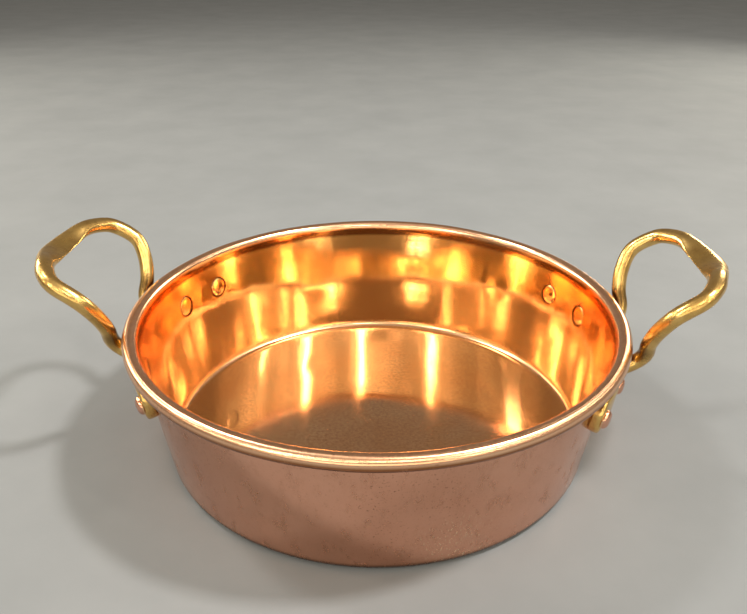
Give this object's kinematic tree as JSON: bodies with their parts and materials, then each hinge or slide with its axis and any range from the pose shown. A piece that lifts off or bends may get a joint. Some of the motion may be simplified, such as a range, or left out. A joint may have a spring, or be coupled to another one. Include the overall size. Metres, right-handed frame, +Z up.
{
  "type": "two-handled copper pan",
  "caption": "Wide shallow open copper pan with slightly tapered straight walls, a wire-rolled rim and two upright cast brass loop handles riveted to the wall.",
  "frame": {"origin": "centre of the flat underside, on the pan's axis of revolution", "axes": "+X runs out through the middle of the right-hand handle, +Y away from the side first seen, +Z up out of the open mouth"},
  "size_m": [0.4314, 0.32, 0.1328],
  "materials": {
    "copper_sheet": "polished copper sheet, near-mirror with fine wiping scratches, small pits and shallow dents",
    "steel_wire": "plain drawn steel wire, hidden inside the rolled rim",
    "cast_brass": "cast brass, hand polished, slightly uneven",
    "rivet_copper": "hammered and polished copper"
  },
  "bodies": {
    "root": {"pan_body": "copper_sheet", "rim_wire": "steel_wire", "handle_left": "cast_brass", "handle_right": "cast_brass", "rivet_left_1": "rivet_copper", "rivet_left_2": "rivet_copper", "rivet_left_3": "rivet_copper", "rivet_left_4": "rivet_copper", "rivet_right_1": "rivet_copper", "rivet_right_2": "rivet_copper", "rivet_right_3": "rivet_copper", "rivet_right_4": "rivet_copper"}
  },
  "joints": []
}
